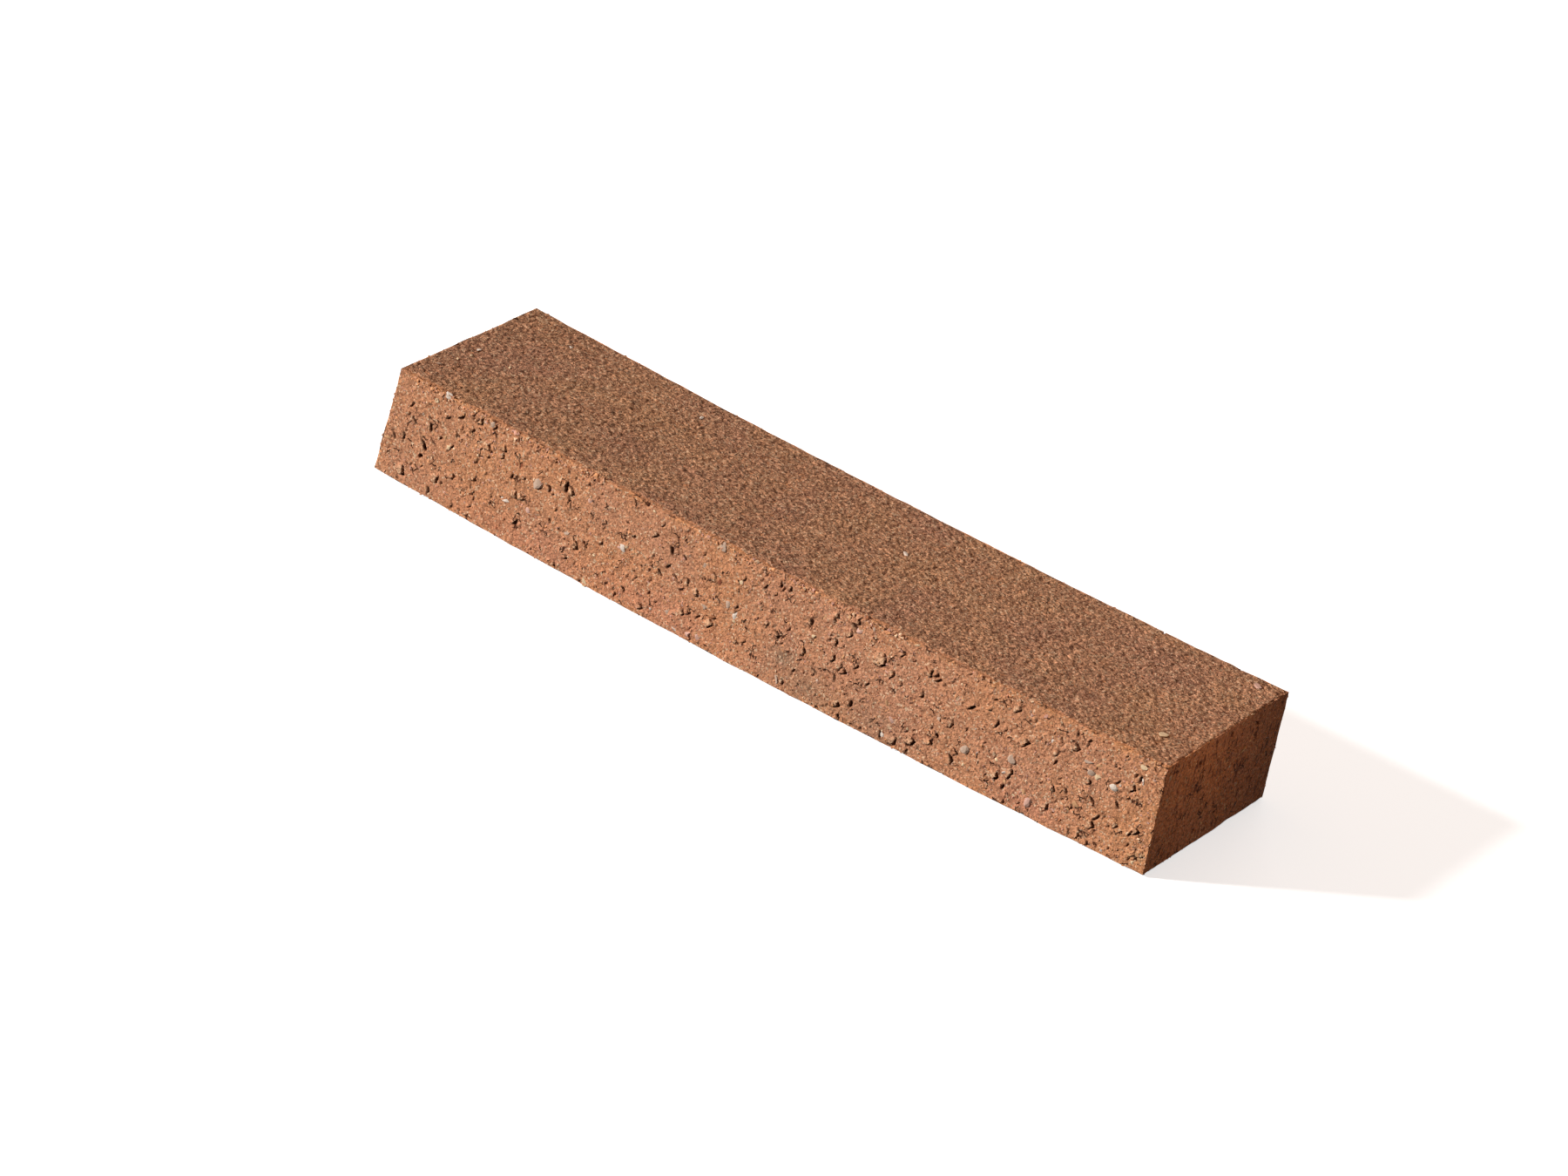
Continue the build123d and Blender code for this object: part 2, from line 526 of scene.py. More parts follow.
# %% [markdown]
# ## Values that the material reads
# The clay's colour follows its shape: painted shade darkens the pits, a painted highlight pales the lips and
# the front's arris, and painted shade streaks the ends. The shape is known here, so each point of the mesh
# carries these values along as attributes. A grey smudge and a few redder blushes, which the kiln left on
# the front, are soft ovals.

# %% The brick's clay
PIT_SHADE_DEPTH, LIP_HIGHLIGHT_HEIGHT = 0.45, 0.35  # mm at which the painted shade of a pit is darkest and the painted highlight of a lip is palest
SMUDGES = ((10.2, 8.7, 3.5, 3.0, 0.8), (19.0, 4.5, 9.0, 4.0, 0.55), (37.0, 4.2, 9.0, 4.5, 0.4))
BLUSHES = ((-70.0, 3.0, 26.0, 5.0, 0.35), (-28.0, 4.0, 24.0, 6.0, 0.4), (82.0, 3.0, 10.0, 4.0, 0.4))
ON_END, ARRIS_HIGHLIGHT_ZONE = (0.6, 0.9), (2.4, 0.2)  # part of a normal along X, and mm from the arris over which the front's painted highlight sets in
FRONT_SKIN, FRONT_STRIP = 0.3, 3.0  # mm behind the front that count as the front, and as its arris


def spots(points, marks):
    """Soft oval spots on the front, from along, up, half width, half height and strength of each."""
    total = np.zeros(len(points))
    for x, z, wide, tall, strength in marks:
        square = ((points[:, 0] - x) / wide) ** 2 + ((points[:, 2] + HALF[2] - z) / tall) ** 2
        total = np.maximum(total, strength * np.exp(-square))
    return total * (points[:, 1] < FRONT_SKIN - HALF[1])


skin_values = {
    # painted shade: the deeper a pit, the darker its colour
    "pit": np.clip(skin_hollow / PIT_SHADE_DEPTH, 0, 1),
    # painted highlight: how proud a lip stands, for its paler colour
    "proud": np.clip(skin_proud / LIP_HIGHLIGHT_HEIGHT, 0, 1),
    "end": smooth_step(*ON_END, np.abs(skin_normals[:, 0])),
    # painted highlight along the front's arrises
    "arris": smooth_step(*ARRIS_HIGHLIGHT_ZONE, edge_distance(lattice)) * (lattice[:, 1] < FRONT_STRIP - HALF[1]),
    "smudge": spots(lattice, SMUDGES),
    "blush": spots(lattice, BLUSHES),
}
brick = thinned("brick_clay", skin, squares, skin_values, SKIN_TRIANGLES)
brick_mesh = brick.data

# %% [markdown]
# ## A flat pattern of the skin
# A texture map needs the skin laid out flat. The six sides go onto one sheet as six rectangles, each
# triangle on the side that it lies nearest to, like a box cut open.

# %% Lay the six sides out on one sheet
GAP = 2.0  # mm between the sides on the sheet


def corner_points(mesh):
    """Corners of all triangles of a mesh in millimetres about its middle, with the bow taken out."""
    co = np.zeros(len(mesh.vertices) * 3, np.float32)
    mesh.vertices.foreach_get("co", co)
    corner = np.zeros(len(mesh.loops), np.int32)
    mesh.loops.foreach_get("vertex_index", corner)
    points = (co.reshape(-1, 3) / MM - MIDDLE)[corner].reshape(-1, 3, 3)
    points[..., 1] -= BOW * (points[..., 0] / HALF[0]) ** 2 - BOW / 2
    return points


def add_sheet(mesh, uv):
    """Stores the places of all corners on the flat sheet."""
    layer = mesh.uv_layers.new(name="OFBake")
    layer.data.foreach_set("uv", uv.astype(np.float32).ravel())
    print(mesh.name, "sheet used up to", uv.reshape(-1, 2).max(0).round(3))


def lay_out(mesh):
    """UVs in millimetres over the sheet's width: ends, long sides and beds in rows above each other."""
    points = corner_points(mesh)
    middle = points.mean(1)
    axis = np.argmin(HALF - np.abs(middle), axis=1)
    far = (np.take_along_axis(middle, axis[:, None], 1)[:, 0] > 0).astype(int)
    across, up = np.array([1, 0, 0])[axis], np.array([2, 2, 1])[axis]
    width, thick = 2 * HALF[1], 2 * HALF[2]
    starts = np.array([
        [[GAP, GAP], [2 * GAP + width, GAP]],
        [[GAP, 2 * GAP + thick], [GAP, 3 * GAP + 2 * thick]],
        [[GAP, 4 * GAP + 3 * thick], [GAP, 5 * GAP + 3 * thick + width]],
    ])
    flat = np.stack([np.take_along_axis(points, way[:, None, None], 2)[..., 0] + HALF[way][:, None]
                     for way in (across, up)], -1)
    add_sheet(mesh, (flat + starts[axis, far][:, None]) / (2 * HALF[0] + 3 * GAP))


lay_out(brick_mesh)

# %% [markdown]
# ## Sand on the beds
# The beds were dusted with sand before firing, and the sand fused into a rough coat. A hundred thousand
# separate grains would be too heavy, so the coat is a thin closed sheet. Its outer side is a field of
# domes, one in each square of a grid, of which the highest counts at each place. Towards the arrises
# the coat thins out and sinks into the clay, along a ragged line at the front.

# %% Fields of domes
DOME_RADIUS, DOME_HEIGHT = (0.5, 0.9), (0.3, 1.0)  # radius in squares, height as a share of the highest


def domes(place, cell, seed):
    """Height from 0 to 1 of round grains: the highest of the nine squares about each place.

    A grain's top is its height times sqrt(1 - (distance / radius)^2).
    """
    highest = np.zeros(len(place))
    for squares in cells_about(place, cell):
        chance = TABLE[row_of(np.column_stack([squares, squares[:, 0]]), seed)]
        away = ((place / cell - squares - chance[:, :2]) ** 2).sum(1)
        top = np.sqrt(np.maximum(1 - away / between(*DOME_RADIUS, chance[:, 2]) ** 2, 0))
        highest = np.maximum(highest, between(*DOME_HEIGHT, chance[:, 3]) * top)
    return highest


print("height of a field of domes at five places", domes(diagonal[:, :2], 1.0, 1).round(2))

# %% Coats of sand on the upper and lower bed
COAT_PITCH = np.array([0.34, 0.34, 2.0])
COAT_INSET = np.array([0.6, 1.0])  # of the sheet's rim from the block's ends and long sides
COAT_DEPTH = 1.8  # of the sheet's hidden side under the true block
COAT_BASE, COAT_RISE, COAT_SUNK = -0.12, 0.54, -0.3  # lowest and highest sand over the clay, and at the rim
DOMES = ((0.6, 1.15, 2), (0.25, 0.7, 3), (0.22, 2.3, 6))  # share, square and seed of three fields
BENT = (0.8, 0.3)  # size and strength of the clouds that bend the domes
LUMPY, LUMPY_MEAN = (5.0, 0.15), 0.9  # size and strength of the cloud that lifts and lowers them, and mean
RAGGED = ((3.2, 4, 0.9), (1.1, 5, 0.5))  # clouds that fray the sand's front line
FULL_COVER = (1.4, 2.2)  # mm from the arris over which the sand sets in
NEARER_ENDS, NEARER_BACK = 1.2, 0.9  # mm by which it comes nearer to the ends and to the back
SHADED_LOW = (0.5, 0.05)  # heights of the lumps between which a place grows dark with painted shade
HIDDEN_UNDER, HIDDEN_UP = 1.4, 0.3  # mm down to the hidden side, and its place up the flat sheet


def bed_coat(name, sign, seed):
    """The sheet of sand on one bed.

    Its height over the clay is base + (rise - base) lumps, where the lumps are the sum of three fields of
    domes, each times its share. Towards the arrises it fades to the sunk rim under the clay.
    """
    sheet, squares = block_lattice(np.array([*2 * (HALF[:2] - COAT_INSET), COAT_PITCH[2]]), COAT_PITCH)
    outer = sheet[:, 2] > 0
    sheet[:, 2] = sign * (HALF[2] - COAT_DEPTH)
    points = sheet[outer]
    points[:, 2] = sign * HALF[2]
    ups = np.tile([0.0, 0.0, sign], (len(points), 1))
    height, _, _ = relief(points, ups)
    place = points[:, :2] + np.stack([cloud(points, BENT[0], seed + step, BENT[1]) for step in (0, 1)], 1)
    lumps = sum(share * domes(place, cell, seed + step) for share, cell, step in DOMES)
    lumps *= LUMPY_MEAN + cloud(points, LUMPY[0], seed + 7, LUMPY[1])
    inside = HALF - np.abs(points)
    ragged = sum(cloud(points, size, seed + step, reach) for size, step, reach in RAGGED)
    across = inside[:, 1] + np.where(points[:, 1] < 0, ragged, NEARER_BACK)
    cover = smooth_step(*FULL_COVER, np.minimum(inside[:, 0] + NEARER_ENDS, across))
    lift = between(COAT_SUNK, between(COAT_BASE, COAT_RISE, lumps), cover)
    sheet[outer] = points + np.minimum(height + lift, HIGHEST)[:, None] * ups
    # painted shade: how low a place lies between the domes, for the material to darken it
    shaded_low_places = np.zeros(len(sheet))
    shaded_low_places[outer] = smooth_step(*SHADED_LOW, lumps) * cover
    made = thinned(name, shaped(sheet), squares[:, ::int(sign)], {"low": shaded_low_places}, COAT_TRIANGLES)
    corners = corner_points(made.data)
    hidden = np.abs(corners[..., 2]).mean(1) < HALF[2] - HIDDEN_UNDER
    flat = (corners[..., :2] + HALF[:2] + GAP) / (2 * HALF[0] + 2 * GAP)
    flat[hidden, :, 1] += HIDDEN_UP
    add_sheet(made.data, flat)
    return made


upper_sand = bed_coat("upper_bed_sand", 1.0, 71)
lower_sand = bed_coat("lower_bed_sand", -1.0, 81)

# %% [markdown]
# ## Colours
# Colours are easiest to pick as sRGB hex codes, but Blender's shaders reckon in linear light. One
# function turns a code into linear red, green and blue. Grains also need a mixture: each takes a colour
# of a list at random, as a handful of crushed brick shows a few kinds of clay.

# %% Colours from hex codes
SRGB_LIMIT = 0.04045


def linear(code):
    """Linear red, green and blue of an sRGB hex colour such as #c08a66."""
    srgb = np.array([int(code[i:i + 2], 16) / 255 for i in (1, 3, 5)])
    return np.where(srgb <= SRGB_LIMIT, srgb / 12.92, ((srgb + 0.055) / 1.055) ** 2.4)


def mixed_tints(codes, shares, count, rng, spread):
    """A random colour of the list for each grain, a random share lighter or darker."""
    palette = np.array([linear(code) for code in codes])
    return palette[rng.choice(len(codes), count, p=shares)] * np.exp(rng.normal(0, spread, (count, 1)))


print("orange of fresh clay in linear light", linear("#cd8e64").round(3))

# %% [markdown]
# ## Broken stones
# Grit and crushed fired clay are thousands of small broken stones. Each starts as a ball of a few flat
# faces. Random planes break it, then it is stretched unevenly, turned at random and laid flat. Instances
# would all look alike, so all grains of a kind are one joined mesh, worked out as one array.

# %% Whole stones and their turns
OCTAHEDRON = (
    np.concatenate([np.eye(3), -np.eye(3)]),
    np.array([[0, 1, 2], [1, 3, 2], [3, 4, 2], [4, 0, 2], [1, 0, 5], [3, 1, 5], [4, 3, 5], [0, 4, 5]]),
)


def ball(subdivisions):
    """Corners and triangles of a unit icosphere."""
    bm = bmesh.new()
    bmesh.ops.create_icosphere(bm, subdivisions=subdivisions, radius=1)
    corners = np.array([v.co for v in bm.verts])
    faces = np.array([[v.index for v in f.verts] for f in bm.faces])
    bm.free()
    return corners, faces


def turns(count, rng):
    """Random rotation matrices from random unit quaternions."""
    w, x, y, z = (q := rng.normal(size=(count, 4))).T / np.linalg.norm(q, axis=1)
    return np.stack([
        1 - 2 * (y * y + z * z), 2 * (x * y - z * w), 2 * (x * z + y * w),
        2 * (x * y + z * w), 1 - 2 * (x * x + z * z), 2 * (y * z - x * w),
        2 * (x * z - y * w), 2 * (y * z + x * w), 1 - 2 * (x * x + y * y),
    ], 1).reshape(-1, 3, 3)


print("triangles of a grit stone", len(OCTAHEDRON[1]), "and of a larger one", len(ball(2)[1]))

# %% Broken stones from arrays
BREAK_AT, STRETCH = (0.25, 0.8), (0.65, 1.35)  # distance of a break and stretch, as shares of the radius
KEPT_IN = 0.01  # mm that stones stay inside the brick's box
ON_SHEET = 0.38  # a stone's radius on the flat sheet, as a share of its cell


def stones(name, places, ups, sizes, tints, rng, form, breaks, flatness):
    """One joined mesh of broken stones of the given widths, flattened along the way up.

    Each of a few random planes, its breaks, moves the corners beyond it back onto it. Corners outside the
    brick's box are worn down to it.
    """
    corners, faces = form
    count, each = len(places), len(corners)
    shape = np.repeat(corners[None], count, 0)
    for _ in range(breaks):
        ways = turns(count, rng)[:, 0]
        over = np.maximum((shape * ways[:, None]).sum(2) - rng.uniform(*BREAK_AT, (count, 1)), 0)
        shape = shape - over[..., None] * ways[:, None]
    shape = shape * rng.uniform(*STRETCH, (count, 1, 3))
    shape = np.einsum("nij,nkj->nki", turns(count, rng), shape)
    along = (shape * ups[:, None]).sum(2, keepdims=True)
    shape = shape - (1 - flatness) * along * ups[:, None]
    points = np.clip(places[:, None] + shape * sizes[:, None, None] / 2, low + KEPT_IN, high - KEPT_IN)
    triangles = (faces[None] + each * np.arange(count)[:, None, None]).reshape(-1, 3)
    colours = np.concatenate([tints, np.ones((count, 1))], 1)
    made = mesh_object(name, points.reshape(-1, 3), triangles, {"tint": np.repeat(colours, each, 0)})
    made.data.shade_flat()
    cells = math.ceil(math.sqrt(count))
    cell = np.stack([np.arange(count) % cells, np.arange(count) // cells], 1)
    uv = (cell[:, None] + 0.5 + ON_SHEET * corners[None, :, :2]) / cells
    add_sheet(made.data, uv.reshape(-1, 2)[triangles.ravel()])
    print(name, "stones", count, "triangles", len(triangles))
    return made


print("a stone breaks at", BREAK_AT, "of its radius and stretches by", STRETCH)

# %% [markdown]
# ## Grit on the cut faces
# The wire roughened the cut faces into a fine grit, and crumbs cling to the front's upper arris. A
# particle system could scatter them, but points from a seeded generator are the same on each run.
# Grains that would fall into a pit are left out.

# %% Points for the grit
CLUMPS, NO_CLUMP = (9.0, 40), -0.15  # cloud of the clumps along the arris, and its value where none is
ARRIS_UP = np.array([0.0, -0.87, 0.5])  # the way out of the crumbs on the arris
ARRIS_ENDS, UNDER_ARRIS = (4.0, 1.0), (0.2, 2.0)  # mm free at the left and right end, and mm under the bed


def scatter_on_cuts(count, rng, margin=0.5):
    """Random points and normals on the two ends and the two long sides, evenly by area."""
    width, length = 2 * HALF[1], 2 * HALF[0]
    run = rng.uniform(0, 2 * (length + width), count)
    face = np.searchsorted([width, 2 * width, 2 * width + length], run)
    reach = np.where(face >= FRONT, HALF[0], HALF[1]) - margin
    ups = OUTWARD[face]
    points = ups * HALF + np.abs(ups[:, [1, 0, 2]]) * (rng.uniform(-1, 1, count) * reach)[:, None]
    points[:, 2] = rng.uniform(-1, 1, count) * (HALF[2] - margin)
    return points, ups


def scatter_on_arris(count, rng):
    """Random points and normals on the front under its upper arris, in clumps and denser towards it."""
    along = rng.uniform(ARRIS_ENDS[0] - HALF[0], HALF[0] - ARRIS_ENDS[1], count)
    under = between(*UNDER_ARRIS, rng.random(count) ** 2)
    points = np.column_stack([along, np.full(count, -HALF[1]), HALF[2] - under])
    points = points[cloud(points, *CLUMPS) > NO_CLUMP]
    return points, np.tile(ARRIS_UP, (len(points), 1))


print("the crumbs' way out", ARRIS_UP)

# %% Grit of clay
GRIT_COUNT, GRIT_SIZE = 20_000, (0.35, 1.0)
RIM_COUNT, RIM_SIZE = 700, (0.6, 1.7)  # crumbs along the front's upper arris
GRIT_SINK = 0.03  # share of a grain's width that it sits lower than the clay
PIT_FROM = 0.15  # mm of depth from which a place is a pit
CLAY_CODES = ("#cb9370", "#d29668", "#cb9783", "#bd9177", "#aa6d4a", "#e4c09c")
CLAY_SHARES = (0.47, 0.17, 0.10, 0.08, 0.08, 0.10)

grit_rng = np.random.default_rng(51)
cut_points, cut_ups = scatter_on_cuts(GRIT_COUNT, grit_rng)
cut_sizes = between(*GRIT_SIZE, grit_rng.random(GRIT_COUNT) ** 2)
rim_points, rim_ups = scatter_on_arris(RIM_COUNT, grit_rng)
rim_sizes = between(*RIM_SIZE, grit_rng.random(len(rim_points)) ** 2)
grit_points, grit_ups = np.concatenate([cut_points, rim_points]), np.concatenate([cut_ups, rim_ups])
grit_sizes = np.concatenate([cut_sizes, rim_sizes])
grit_height, grit_hollow, _ = relief(grit_points, grit_ups)
grit_places = shaped(grit_points + (grit_height - GRIT_SINK * grit_sizes)[:, None] * grit_ups)
grit_tints = mixed_tints(CLAY_CODES, CLAY_SHARES, len(grit_sizes), grit_rng, spread=0.14)
firm = grit_hollow < PIT_FROM
grit = stones("cut_face_grit", grit_places[firm], grit_ups[firm], grit_sizes[firm], grit_tints[firm],
              grit_rng, OCTAHEDRON, breaks=4, flatness=0.6)

# %% [markdown]
# ## Crushed fired clay
# Crushed fired clay, or grog, keeps a fire brick from cracking, and the wire laid its pale grains open.
# They are larger than the grit and broken by more planes. Most are scattered at random, and the ones
# that catch the eye have their own places on the front and the upper bed.

# %% Grains that catch the eye
GROG_CODES = ("#ddccbc", "#ddc09a", "#bda18c", "#d2a795", "#c9996f", "#96573c")
WHITE, CREAM, GREY, PINK, TAN, RED = (linear(code) for code in GROG_CODES)
MARKED_GROG = (  # along, up, width and colour of the grains that stand out on the front
    (102.0, 18.1, 2.6, WHITE), (108.4, 26.9, 1.9, CREAM), (81.6, 3.8, 2.3, PINK), (94.6, 21.4, 2.2, GREY),
    (95.8, 19.6, 1.8, GREY), (97.9, 19.0, 1.7, CREAM), (-39.5, 15.4, 2.4, WHITE), (-12.9, 28.5, 2.3, GREY),
    (-55.7, 11.5, 2.2, GREY), (-20.0, 1.4, 2.1, WHITE), (-15.9, 2.6, 2.4, PINK), (-47.8, 1.3, 2.6, CREAM),
    (-99.0, 29.2, 2.2, WHITE), (-102.0, 26.5, 1.5, CREAM), (-75.3, 11.3, 2.0, WHITE),
    (-4.9, 12.7, 1.7, WHITE), (-4.6, 11.2, 1.4, CREAM), (63.0, 9.2, 2.4, GREY), (66.2, 9.3, 2.0, WHITE),
    (44.0, 29.0, 1.7, CREAM), (42.5, 7.5, 1.9, PINK), (-67.8, 19.9, 2.6, GREY), (-73.6, 22.2, 3.0, RED),
    (48.4, 24.6, 2.2, RED), (-95.0, 16.4, 1.4, CREAM), (112.9, 3.6, 1.5, TAN), (111.4, 2.6, 1.4, CREAM),
    (110.0, 4.0, 1.3, TAN), (113.3, 5.6, 1.2, TAN), (111.8, 5.0, 1.2, TAN),
)
BED_GROG = (  # along, back, width and colour of the grains on the upper bed
    (105.8, -16.6, 1.7, CREAM), (108.0, 25.0, 2.3, PINK), (17.7, 6.2, 1.3, WHITE), (-96.1, 19.7, 1.3, WHITE),
    (-108.2, -7.6, 1.4, CREAM), (-110.0, -19.0, 1.2, GREY), (-109.2, -12.6, 1.0, CREAM),
    (-109.0, -3.9, 1.3, WHITE), (-98.3, -4.1, 1.0, CREAM), (-53.8, 19.6, 1.0, WHITE),
)
marked = MARKED_GROG + BED_GROG
front_points = np.array([[along, -HALF[1], up - HALF[2]] for along, up, *_ in MARKED_GROG])
bed_points = np.array([[along, back, HALF[2]] for along, back, *_ in BED_GROG])
print("grains with places of their own", len(marked))

# %% Grains of crushed fired clay
GROG_COUNT, GROG_SIZE = 330, (0.9, 2.4)
GROG_SHARES = (0.08, 0.18, 0.14, 0.16, 0.34, 0.10)
BEFORE_BREAKS = 1.3  # a marked grain starts this much wider, because its breaks narrow it
GROG_SINK, DEEPEST = 0.08, -0.6  # share of its width that a grain sits lower, and its deepest seat in mm
SAND_TOP = 0.4  # mm that grains on the bed are raised to the top of the sand

grog_rng = np.random.default_rng(61)
loose_points, loose_ups = scatter_on_cuts(GROG_COUNT, grog_rng, margin=1.4)
loose_sizes = between(*GROG_SIZE, grog_rng.random(GROG_COUNT) ** 2.5)
loose_tints = mixed_tints(GROG_CODES, GROG_SHARES, GROG_COUNT, grog_rng, spread=0.1)
grog_points = np.concatenate([loose_points, front_points, bed_points])
grog_ups = np.concatenate([
    loose_ups,
    np.tile([0.0, -1.0, 0.0], (len(MARKED_GROG), 1)),
    np.tile([0.0, 0.0, 1.0], (len(BED_GROG), 1)),
])
grog_sizes = np.concatenate([loose_sizes, [BEFORE_BREAKS * width for *_, width, _ in marked]])
grog_tints = np.concatenate([loose_tints, [tint for *_, tint in marked]])
grog_heights = np.maximum(relief(grog_points, grog_ups)[0], DEEPEST) - GROG_SINK * grog_sizes
grog_heights[-len(BED_GROG):] += SAND_TOP
grog_places = shaped(grog_points + grog_heights[:, None] * grog_ups)
grog = stones("crushed_grog", grog_places, grog_ups, grog_sizes, grog_tints, grog_rng, ball(2),
              breaks=7, flatness=0.42)

# %% [markdown]
# ## Materials
# Fired clay is rough all the way through, so it has hardly any gloss. What the eye sees is its colour:
# orange where the cut is fresh, browner on the sanded beds, painted shade in the tears, with fine light and
# dark grains all over. Painting a picture for it would fix it to one size of image, so nodes work the colour
# out at each place. One function adds any node and hands back one of its outputs.

# %% One function that adds a node
MIX_A, MIX_B = 6, 7  # a Mix node's sockets for its two colours
COLOURS = {"data_type": "RGBA", "out": 2}  # for a Mix node that mixes colours


def add(tree, kind, inputs=(), out=0, **settings):
    """Adds a shader node with its settings and gives one of its outputs.

    The inputs are a row in the order of the sockets, or go by socket. Each is a value or an output to link.
    """
    node = tree.nodes.new("ShaderNode" + kind)
    for key, value in settings.items():
        setattr(node, key, value)
    for key, value in inputs.items() if isinstance(inputs, dict) else enumerate(inputs):
        if isinstance(value, bpy.types.NodeSocket):
            tree.links.new(value, node.inputs[key])
        else:
            node.inputs[key].default_value = value
    return node.outputs[out]


def rgba(code):
    """An sRGB hex colour as a socket value."""
    return (*linear(code), 1.0)


def per(size_mm):
    """Texture scale, in repeats for each metre, of a pattern whose grains are this many mm."""
    return 1 / (size_mm * MM)


def new_material(name, roughness, gloss):
    """A material with its node tree and shader."""
    made = bpy.data.materials.new(name)
    made.use_nodes = True
    shader = made.node_tree.nodes["Principled BSDF"]
    shader.inputs["Roughness"].default_value = roughness
    shader.inputs["Specular IOR Level"].default_value = gloss
    return made, made.node_tree, shader


print("repeats a metre of a pattern of 1 mm grains", per(1.0))

# %% [markdown]
# ## Patterns that the finishes share
# Clay is made of grains, and a Voronoi texture gives each grain its own shade. A painted light also makes
# the right half of the brick a little paler than the left, which is a slow change along X. The cut faces
# and the beds both show this, so each is a function.

# %% Grains of colour, and the painted light that grows along the brick
PAINTED_LIGHT_ENDS = (0.94, 1.06)  # lightness of the painted light at the left and the right end
RARE = (0.88, 0.96, 0.0, 0.6)  # a grain's chance at which it starts to be pale or dark and is so most
FINE = 0.45  # mm; the finest real grains are under half of this, which would not show


def painted_light_to_the_right(tree, place, colour):
    """A colour that painted light makes a little lighter from the left end to the right."""
    along = add(tree, "SeparateXYZ", (place,), out="X")
    light = add(tree, "MapRange", (along, low[0] * MM, high[0] * MM, *PAINTED_LIGHT_ENDS))
    return add(tree, "HueSaturation", {"Value": light, "Color": colour})


def speckled(tree, place, colour, size_mm, shades, pale, dark):
    """Grains of a size over a colour: each a little lighter or darker, and about one in ten pale or dark."""
    grains = add(tree, "TexVoronoi", {"Vector": place, "Scale": per(size_mm)}, out="Color")
    chances = add(tree, "SeparateColor", (grains,)).node.outputs
    light = add(tree, "MapRange", (chances[0], 0.0, 1.0, *shades))
    colour = add(tree, "HueSaturation", {"Value": light, "Color": colour})
    for chance, code in ((chances[1], pale), (chances[2], dark)):
        share = add(tree, "MapRange", (chance, *RARE))
        colour = add(tree, "Mix", {0: share, MIX_A: colour, MIX_B: rgba(code)}, **COLOURS)
    return colour


print("lightness at the left and right end", PAINTED_LIGHT_ENDS, "finest grains in mm", FINE)

# %% [markdown]
# ## The wire-cut clay
# The cut faces show the brick's inside: orange clay in slow patches of two tones, redder where the flame
# touched it, with a painted highlight that pales the lips and turns the front's arris a brighter orange. The
# shape's own values say where.
# Fine grains lie over it, which give the eye the coarse, dry look of fire clay.

# %% Fired clay, wire-cut: its colour
ROUGH, DULL = 0.95, 0.15  # roughness and gloss of fired clay, which is nearly without shine
PATCH, FRAY = 30, 4  # mm, size of the two tones' patches and of the frayed orange along the arris
clay, tree, shader = new_material("fired_clay_wire_cut", ROUGH, DULL)
place = add(tree, "TexCoord", out="Object")
patches = add(tree, "TexNoise", {"Vector": place, "Scale": per(PATCH), "Detail": 3.0})
share = add(tree, "MapRange", (patches, 0.38, 0.64))
body = add(tree, "Mix", {0: share, MIX_A: rgba("#cd8e64"), MIX_B: rgba("#c58b6a")}, **COLOURS)
body = painted_light_to_the_right(tree, place, body)
values = ("blush", "smudge", "proud", "arris")
blush, smudge, proud, arris = (add(tree, "Attribute", out="Fac", attribute_name=name) for name in values)
# painted highlight: a lip grows paler the prouder it stands
lips = add(tree, "MapRange", (proud, 0.4, 1.0, 0.0, 0.6))
frayed = add(tree, "TexNoise", {"Vector": place, "Scale": per(FRAY), "Detail": 3.0})
# painted highlight: a frayed brighter orange along the front's arrises
rim = add(tree, "Math", (add(tree, "MapRange", (frayed, 0.42, 0.6, 0.0, 0.5)), arris), operation="MULTIPLY")
for share, code in ((blush, "#cf876c"), (smudge, "#93765f"), (lips, "#e6bd96"), (rim, "#d8945e")):
    body = add(tree, "Mix", {0: share, MIX_A: body, MIX_B: rgba(code)}, **COLOURS)
body = speckled(tree, place, body, FINE, (0.64, 1.36), "#efd2ae", "#7f4329")
print(clay.name, "nodes for the colour", len(tree.nodes))

# %% [markdown]
# ## Seams, streaks and pits in the clay
# Between the tears that are shape, the clay has finer ones, too many for a mesh. They are the borders of
# a bent Voronoi pattern, open only where a noise says so, and dark with painted shade because no light
# reaches their ground. The pits of the shape get the same painted shade by their depth. On the ends the wire
# left short upright drag pits, shown as streaks of painted shade from a noise stretched along Z.

# %% Fired clay, wire-cut: painted shade in its seams, pits and streaks
# colours of painted shade for cracks, seams and pits, and for the drag pits on the ends
PAINTED_CRACK_SHADE, PAINTED_STREAK_SHADE = "#4a2413", "#6a3822"
PLATE, TORN, STREAK = 2.0, 3.4, 1.3  # mm, width of the small plates, of torn places and of streaks
SHIVER, SHIVER_REACH = 1.5, 1.1  # mm, size of the noise that bends the seams, and how far it does
UPRIGHT = (1.0, 1.0, 0.35)  # the streaks are nearly three times as tall as wide
shiver = add(tree, "TexNoise", {"Vector": place, "Scale": per(SHIVER), "Detail": 2.0}, out="Color")
bent = add(tree, "VectorMath", (shiver, (SHIVER_REACH * MM,) * 3, place), operation="MULTIPLY_ADD")
pattern = {"Vector": bent, "Scale": per(PLATE)}
plate = add(tree, "SeparateColor", (add(tree, "TexVoronoi", pattern, out="Color"),))
border = add(tree, "TexVoronoi", pattern, out="Distance", feature="DISTANCE_TO_EDGE")
seam = add(tree, "MapRange", (border, 0.02, 0.09, 1.0, 0.0))
torn = add(tree, "TexNoise", {"Vector": place, "Scale": per(TORN), "Detail": 2.0})
open_seam = add(tree, "Math", (seam, add(tree, "MapRange", (torn, 0.6, 0.65))), operation="MULTIPLY")
dark_seam = add(tree, "MapRange", (open_seam, 0.0, 1.0, 0.0, 0.95))
